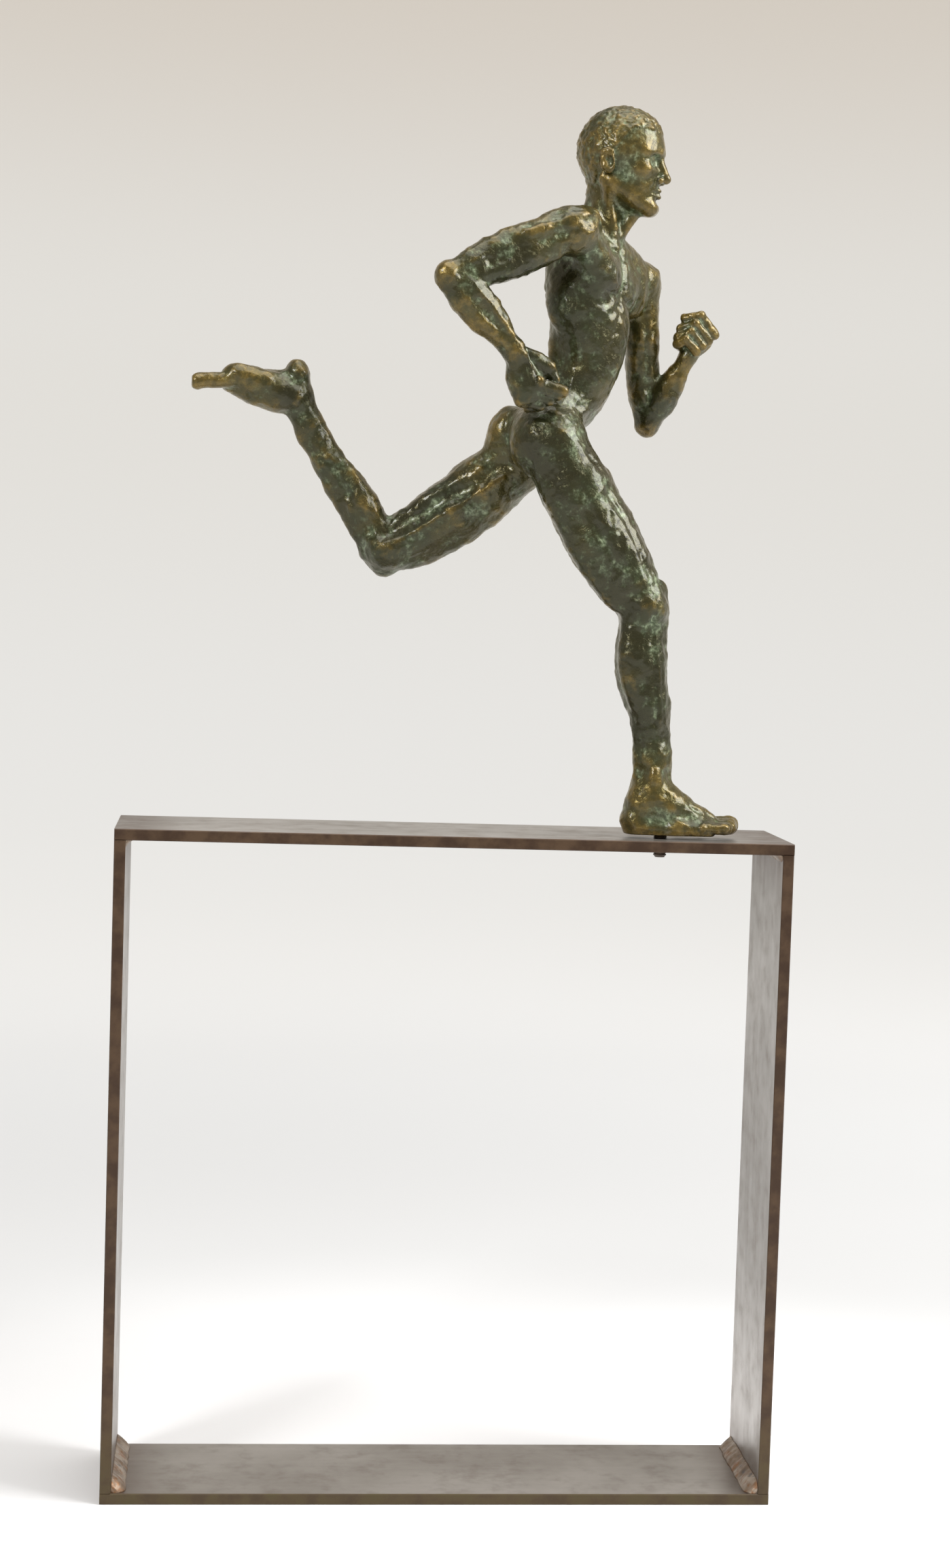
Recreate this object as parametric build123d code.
"""A bronze runner on an open square plinth of welded flat bar.

The plinth is four flat bars, welded at the inner corners. The runner stands on the right foot, which a
threaded stud holds just above the top bar. The bronze is cast in six sections, and each limb and the head
has a round tenon that sits in a socket of the torso, with a ring of weld metal round the joint.

Units are millimetres. The origin is the middle of the bottom bar's underside, +X is the way the runner
faces, +Z is up, and the runner's right side is towards -Y.
"""

import os

from build123d import *

# Plinth: a square of 70 x 5 flat bar.
PLINTH_SIDE = 300.0
BAR_WIDTH = 70.0
BAR_THICK = 5.0
LOWER_WELD_LEG = 7.0
UPPER_WELD_LEG = 3.5
WELD_HOLLOW = 0.36  # how far a bead's hollow face stands from the corner, as a share of its leg
WELD_END_GAP = 0.6  # how far a weld bead stops short of the bar's edges
EDGE_EASE = 0.4

# Stud: a length of M6 threaded rod through a tapped hole in the top bar.
STUD_X = 92.5
STUD_Y = -16.0
STUD_MAJOR_RADIUS = 3.0
STUD_CORE_RADIUS = 2.5
STUD_PITCH = 1.0
STUD_BELOW_BAR = 3.6
STUD_INTO_FOOT = 12.0
SOLE_GAP = 1.6
STUD_CLEARANCE = 0.05
TIP_CHAMFER = 0.6
THREAD_CREST = (0.4, 0.6)  # where the crest begins and ends in each turn of the thread

# Joints between the cast sections.
WELD_RING_WIDTH = 1.4
TENON_LENGTH = 5.0
TENON_CLEARANCE = 0.05
SOCKET_END_GAP = 0.3
CUT_PAST = 1.0  # how far a cut runs past the face it opens

SOLE_Z = PLINTH_SIDE + SOLE_GAP

# Stations along the body: centre x, y, z, then half the size seen from the side and half the size across.
# The head's stations run up the neck and over the skull.
NECK = [
    (58.3, -0.5, 568.0, 7.8, 8.0),
    (58.9, -0.4, 575.0, 7.2, 7.3),
    (60.0, 0.0, 582.0, 6.8, 6.8),
    (62.0, 0.0, 594.0, 7.5, 7.5),
]
SKULL_CENTRE = (64.5, 0.0, 607.0)
SKULL_RADII = (20.0, 15.5, 18.5)
FACE_CENTRE = (72.0, -1.5, 596.0)
FACE_RADII = (13.0, 12.0, 16.0)
EAR_X = 62.0
EAR_Z = 604.0
EAR_RADII = (3.2, 1.6, 5.0)
EAR_SINK = 0.5  # how far an ear's middle lies inside the skull's side

# The trunk's sections lie flat and go down from the neck: centre, half the width along the shoulders or hips,
# half the depth, and how far the section is turned about Z: the chest and the pelvis face different ways.
TRUNK = [
    (58.8, -0.4, 574.0, 7.4, 7.3, -38.0),
    (60.0, -1.5, 568.0, 13.0, 8.0, -38.0),
    (61.0, -2.0, 560.0, 25.0, 11.5, -38.0),
    (59.5, -1.0, 545.0, 26.0, 15.5, -38.0),
    (55.0, 0.0, 524.0, 19.5, 14.5, -26.0),
    (49.0, 0.0, 505.0, 16.0, 12.0, -8.0),
    (36.0, 0.0, 486.0, 20.0, 15.0, 16.0),
    (30.0, 0.0, 471.0, 22.5, 17.0, 20.0),
    (31.0, 0.0, 458.0, 13.0, 9.0, 20.0),
]
WALL = 4.5  # the trunk and the skull are hollow castings
HOLLOW_SECTIONS = slice(2, 7)

RIGHT_UPPER_ARM = [
    (60.0, -12.0, 557.0, 10.5, 10.0),
    (48.0, -23.0, 563.5, 11.5, 10.5),
    (34.0, -30.5, 562.5, 11.5, 10.0),
    (20.0, -35.0, 558.0, 11.0, 9.5),
    (4.0, -39.5, 551.0, 10.0, 8.5),
    (-10.0, -43.0, 544.0, 6.5, 6.5),
]
RIGHT_FOREARM = [
    (-10.5, -43.0, 544.5, 6.0, 6.0),
    (-3.0, -42.0, 535.5, 9.2, 7.5),
    (7.0, -39.5, 524.0, 8.2, 6.8),
    (15.5, -36.0, 514.0, 6.2, 5.6),
    (19.5, -33.5, 507.0, 7.0, 5.5),
]
RIGHT_FIST = [(19.5, -33.5, 507.5, 8.5, 5.8), (24.5, -31.5, 499.0, 12.5, 7.2), (29.5, -31.0, 490.5, 9.5, 6.5)]
RIGHT_ELBOW_RADII = (6.6, 6.6, 6.6)

LEFT_UPPER_ARM = [
    (68.0, 8.0, 551.0, 9.0, 9.0),
    (79.0, 18.0, 552.5, 9.5, 9.0),
    (84.5, 25.0, 544.0, 8.8, 8.0),
    (86.0, 28.0, 530.0, 7.8, 8.0),
    (86.0, 29.5, 510.0, 8.0, 7.5),
    (86.5, 30.5, 489.0, 6.0, 6.0),
]
LEFT_FOREARM = [
    (87.0, 30.5, 488.0, 5.5, 5.5),
    (93.0, 28.0, 499.0, 7.6, 6.8),
    (99.0, 24.0, 510.0, 6.0, 5.6),
    (103.5, 20.5, 519.0, 5.0, 4.8),
]
LEFT_FIST = [(103.0, 20.5, 518.5, 5.5, 6.5), (105.5, 18.0, 527.0, 9.5, 8.5), (107.5, 17.0, 536.0, 7.0, 7.0)]
LEFT_ELBOW_RADII = (6.1, 6.1, 6.1)

RIGHT_LEG = [
    (33.0, -13.0, 478.0, 15.0, 13.0),
    (40.0, -15.0, 462.0, 18.5, 15.0),
    (53.0, -16.0, 443.0, 17.0, 14.0),
    (67.0, -16.0, 423.0, 13.5, 12.5),
    (81.0, -16.0, 403.0, 11.0, 11.0),
    (85.0, -16.0, 388.0, 11.0, 10.5),
    (83.5, -16.0, 372.0, 12.2, 10.5),
    (85.5, -16.0, 352.0, 9.8, 9.0),
    (88.0, -16.0, 333.0, 8.3, 7.6),
    (87.5, -16.0, 318.0, 9.8, 8.0),
    (87.0, -16.0, 308.0, 10.0, 8.0),
]
# The standing foot's sections, from heel to toe: x, half the width and the height above the sole.
RIGHT_FOOT = [(74.5, 4.5, 8.0), (79.0, 7.5, 13.0), (90.0, 8.6, 17.0), (103.0, 9.5, 14.0), (116.0, 10.5, 9.0),
              (127.0, 8.5, 5.5)]
FOOT_SPLAY_Y = -2.0  # how far the toes lie towards the runner's right

LEFT_THIGH = [
    (29.0, 12.0, 476.0, 14.0, 12.0),
    (16.0, 14.5, 464.0, 17.5, 14.0),
    (-1.0, 16.0, 450.0, 15.5, 13.0),
    (-19.0, 16.0, 437.5, 12.5, 11.5),
    (-34.0, 16.0, 427.5, 10.5, 10.5),
]
LEFT_SHIN = [
    (-34.0, 16.0, 424.0, 10.0, 10.0),
    (-44.0, 16.0, 440.0, 10.5, 9.8),
    (-55.0, 15.5, 459.0, 9.2, 9.0),
    (-66.0, 15.0, 478.0, 7.2, 7.2),
    (-73.0, 14.5, 492.0, 6.8, 6.5),
    (-75.0, 14.5, 499.0, 7.0, 6.5),
]
LEFT_KNEE_RADII = (10.6, 10.4, 10.6)
LEFT_FOOT = [
    (-68.5, 14.5, 500.0, 6.0, 4.5),
    (-74.0, 14.5, 498.5, 10.5, 6.8),
    (-86.0, 14.0, 497.0, 8.3, 7.5),
    (-99.0, 13.5, 498.5, 7.0, 9.0),
    (-110.0, 13.0, 498.0, 3.6, 9.0),
    (-120.0, 12.5, 497.5, 3.0, 7.5),
]

# Weld rings: a point on the limb's axis, the way the limb leaves the torso, and the tenon's radius.
NECK_JOINT = ((58.8, -0.4, 574.0), (0.0, 0.0, 1.0), 4.0)
RIGHT_SHOULDER_JOINT = ((35.0, -30.4, 563.6), (-0.93, -0.27, -0.25), 4.5)
LEFT_SHOULDER_JOINT = ((85.2, 26.2, 540.5), (0.1, 0.12, -0.99), 4.0)
RIGHT_HIP_JOINT = ((47.0, -15.4, 452.0), (0.57, -0.05, -0.82), 7.0)
LEFT_HIP_JOINT = ((7.0, 15.2, 456.7), (-0.78, 0.08, -0.62), 6.5)


def ellipse_at(centre, normal, half_side, half_depth):
    """An ellipse across a limb: half_side lies in the XZ plane and half_depth lies nearly along Y."""
    side = Vector(0, 1, 0).cross(normal).normalized()
    return Plane(origin=centre, x_dir=side, z_dir=normal) * Ellipse(half_side, half_depth)


def limb(stations):
    """One smooth solid through elliptical stations, each square to the line through its neighbours."""
    points = [Vector(*s[:3]) for s in stations]
    sections = []
    for i, (_, _, _, half_side, half_depth) in enumerate(stations):
        before, after = points[max(i - 1, 0)], points[min(i + 1, len(points) - 1)]
        sections.append(ellipse_at(points[i], (after - before).normalized(), half_side, half_depth))
    return loft(sections)


def ellipsoid(centre, radii):
    """A ball stretched to three radii."""
    ball = Solid.make_sphere(1.0)
    stretch = Matrix([[radii[0], 0, 0, centre[0]], [0, radii[1], 0, centre[1]], [0, 0, radii[2], centre[2]]])
    return ball.transform_geometry(stretch)


def fuse_all(pieces):
    """The union of the pieces as one solid."""
    whole = pieces[0]
    for piece in pieces[1:]:
        whole = whole + piece
    return whole.solids()[0] if len(whole.solids()) == 1 else whole


def trunk_section(x, y, z, half_width, half_depth, turn):
    """A flat ellipse across the trunk, turned about Z."""
    plane = Plane(origin=(x, y, z)).rotated((0, 0, turn))
    return plane * Ellipse(half_depth, half_width)


def trunk():
    """The trunk from the base of the neck to the crotch."""
    return loft([trunk_section(*s) for s in TRUNK])


def trunk_core():
    """The hollow inside the trunk, a wall's thickness smaller than the trunk all round."""
    inner = [(x, y, z, a - WALL, b - WALL, turn) for x, y, z, a, b, turn in TRUNK[HOLLOW_SECTIONS]]
    return loft([trunk_section(*s) for s in inner])


def right_foot():
    """The standing foot, flat under the sole."""
    first, last = RIGHT_FOOT[0][0], RIGHT_FOOT[-1][0]
    sections = []
    for x, half_width, height in RIGHT_FOOT:
        y = STUD_Y + FOOT_SPLAY_Y * (x - first) / (last - first)
        outline = Ellipse(half_width, height) & Pos(0, height / 2) * Rectangle(2 * half_width, height)
        sections.append(Plane(origin=(x, y, SOLE_Z), x_dir=(0, 1, 0), z_dir=(1, 0, 0)) * outline)
    return loft(sections)


def joint_plane(joint):
    """The plane across a limb at its weld ring, facing out along the limb."""
    return Plane(origin=joint[0], z_dir=joint[1])


def beyond(solid, plane, offset):
    """The part of a solid that lies further along a plane's normal than offset."""
    return split(solid, bisect_by=plane.offset(offset), keep=Keep.TOP)


def behind(solid, plane, offset):
    """The part of a solid that lies less far along a plane's normal than offset."""
    return split(solid, bisect_by=plane.offset(offset), keep=Keep.BOTTOM)


def largest(shape):
    """The biggest solid of a shape."""
    return max(shape.solids(), key=lambda s: s.volume)


def tenon(joint, radius, start, end):
    """A round bar on a joint's axis, between two distances along it."""
    return joint_plane(joint).offset(start) * extrude(Circle(radius), end - start)


def cut_limb(full, joint):
    """A limb cut at its joint: the limb with its tenon, the ring of weld metal and the torso's stub."""
    plane = joint_plane(joint)
    radius = joint[2]
    outer = largest(beyond(full, plane, WELD_RING_WIDTH))
    outer = outer + tenon(joint, radius, -TENON_LENGTH, WELD_RING_WIDTH + CUT_PAST)
    slab = largest(behind(beyond(full, plane, 0.0), plane, WELD_RING_WIDTH))
    ring = slab - tenon(joint, radius, -CUT_PAST, WELD_RING_WIDTH + CUT_PAST)
    stub = largest(behind(full, plane, 0.0))
    return outer, ring, stub


def socket(joint):
    """The hole in the torso that takes a tenon."""
    return tenon(joint, joint[2] + TENON_CLEARANCE, -TENON_LENGTH - SOCKET_END_GAP, CUT_PAST)


def head_full():
    """The neck, skull, face and ears as one solid."""
    ears = [ellipsoid((EAR_X, side * (SKULL_RADII[1] - EAR_SINK), EAR_Z), EAR_RADII) for side in (-1, 1)]
    skull, face = ellipsoid(SKULL_CENTRE, SKULL_RADII), ellipsoid(FACE_CENTRE, FACE_RADII)
    return fuse_all([limb(NECK), skull, face, *ears])


def skull_core():
    """The hollow inside the skull."""
    return ellipsoid(SKULL_CENTRE, [r - WALL for r in SKULL_RADII])


def right_arm_full():
    """Upper arm, elbow, forearm and the fist beside the hip."""
    elbow = ellipsoid(RIGHT_FOREARM[0][:3], RIGHT_ELBOW_RADII)
    return fuse_all([limb(RIGHT_UPPER_ARM), limb(RIGHT_FOREARM), elbow, limb(RIGHT_FIST)])


def left_arm_full():
    """Upper arm, elbow, forearm and the raised fist."""
    elbow = ellipsoid(LEFT_FOREARM[0][:3], LEFT_ELBOW_RADII)
    return fuse_all([limb(LEFT_UPPER_ARM), limb(LEFT_FOREARM), elbow, limb(LEFT_FIST)])


def right_leg_full():
    """The standing leg and foot."""
    return fuse_all([limb(RIGHT_LEG), right_foot()])


def left_leg_full():
    """The trailing leg, with the foot's sole turned up."""
    knee = ellipsoid(LEFT_SHIN[0][:3], LEFT_KNEE_RADII)
    return fuse_all([limb(LEFT_THIGH), limb(LEFT_SHIN), knee, limb(LEFT_FOOT)])


def figure():
    """The runner's cast sections and the weld rings between them."""
    limbs = {
        "head": (head_full(), NECK_JOINT, "neck_weld"),
        "right_arm": (right_arm_full(), RIGHT_SHOULDER_JOINT, "right_shoulder_weld"),
        "left_arm": (left_arm_full(), LEFT_SHOULDER_JOINT, "left_shoulder_weld"),
        "right_leg": (right_leg_full(), RIGHT_HIP_JOINT, "right_hip_weld"),
        "left_leg": (left_leg_full(), LEFT_HIP_JOINT, "left_hip_weld"),
    }
    nodes = {}
    torso = trunk()
    for name, (full, joint, weld_name) in limbs.items():
        nodes[name], nodes[weld_name], stub = cut_limb(full, joint)
        if joint is not NECK_JOINT:  # the trunk's own top is the neck's stub
            torso = torso + stub
    torso = torso - trunk_core()
    for _, joint, _ in limbs.values():
        torso = torso - socket(joint)
    nodes["torso"] = torso
    nodes["head"] = nodes["head"] - skull_core()
    hole_end = SOLE_Z + STUD_INTO_FOOT + SOCKET_END_GAP
    nodes["right_leg"] = nodes["right_leg"] - stud_hole(SOLE_Z - CUT_PAST, hole_end)
    return nodes


def stud_hole(bottom, top):
    """The tapped hole that takes the stud, as its thread's outer cylinder."""
    return Pos(STUD_X, STUD_Y, bottom) * extrude(Circle(STUD_MAJOR_RADIUS + STUD_CLEARANCE), top - bottom)


def stud():
    """The threaded stud, with its thread as rings at the thread's pitch and both ends chamfered."""
    bottom = PLINTH_SIDE - BAR_THICK - STUD_BELOW_BAR
    length = SOLE_Z + STUD_INTO_FOOT - bottom
    outline = [(0, 0), (STUD_CORE_RADIUS - TIP_CHAMFER / 2, 0), (STUD_CORE_RADIUS, TIP_CHAMFER)]
    turns = int((length - 2 * TIP_CHAMFER) / STUD_PITCH)
    for turn in range(turns):
        root = TIP_CHAMFER + turn * STUD_PITCH
        outline += [(STUD_MAJOR_RADIUS, root + share * STUD_PITCH) for share in THREAD_CREST]
        outline.append((STUD_CORE_RADIUS, root + STUD_PITCH))
    outline += [(STUD_CORE_RADIUS - TIP_CHAMFER / 2, length), (0, length)]
    profile = make_face(Polyline(*[(x, 0, z) for x, z in outline], close=True))
    return Pos(STUD_X, STUD_Y, bottom) * revolve(profile, Axis.Z)


def bar(length):
    """A flat bar along X with eased edges, lying on the XY plane."""
    blank = Box(length, BAR_WIDTH, BAR_THICK, align=(Align.CENTER, Align.CENTER, Align.MIN))
    return chamfer(blank.edges().filter_by(Axis.X), EDGE_EASE)


def plinth():
    """The four bars: the top and bottom run the full width, and the sides stand between them."""
    side_height = PLINTH_SIDE - 2 * BAR_THICK
    upright = Rot(0, 90, 0) * Pos(0, 0, -BAR_THICK / 2) * bar(side_height)
    middle = PLINTH_SIDE / 2
    side_x = middle - BAR_THICK / 2
    top = Pos(0, 0, PLINTH_SIDE - BAR_THICK) * bar(PLINTH_SIDE)
    return {
        "bottom_bar": bar(PLINTH_SIDE),
        "top_bar": top - stud_hole(PLINTH_SIDE - BAR_THICK - CUT_PAST, PLINTH_SIDE + CUT_PAST),
        "left_bar": Pos(-side_x, 0, middle) * upright,
        "right_bar": Pos(side_x, 0, middle) * upright,
    }


def fillet_weld(leg):
    """A concave bead along Y in the corner where +X meets +Z."""
    hollow = ThreePointArc((leg, 0, 0), (WELD_HOLLOW * leg, 0, WELD_HOLLOW * leg), (0, 0, leg))
    outline = make_face([Line((0, 0, 0), (leg, 0, 0)), hollow, Line((0, 0, leg), (0, 0, 0))])
    return extrude(outline, BAR_WIDTH / 2 - WELD_END_GAP, both=True)


def corner_welds():
    """The beads inside the four corners: heavy at the bottom and light at the top."""
    inner = PLINTH_SIDE / 2 - BAR_THICK
    low, high = BAR_THICK, PLINTH_SIDE - BAR_THICK
    lower, upper = fillet_weld(LOWER_WELD_LEG), fillet_weld(UPPER_WELD_LEG)
    return {
        "lower_left_weld": Pos(-inner, 0, low) * lower,
        "lower_right_weld": Pos(inner, 0, low) * Rot(0, 0, 180) * lower,
        "upper_left_weld": Pos(-inner, 0, high) * Rot(180, 0, 0) * upper,
        "upper_right_weld": Pos(inner, 0, high) * Rot(0, 180, 0) * upper,
    }


def main():
    os.makedirs("parts", exist_ok=True)
    nodes = {**plinth(), **corner_welds(), "stud": stud(), **figure()}
    for name, shape in nodes.items():
        export_step(shape, f"parts/{name}.step")


main()
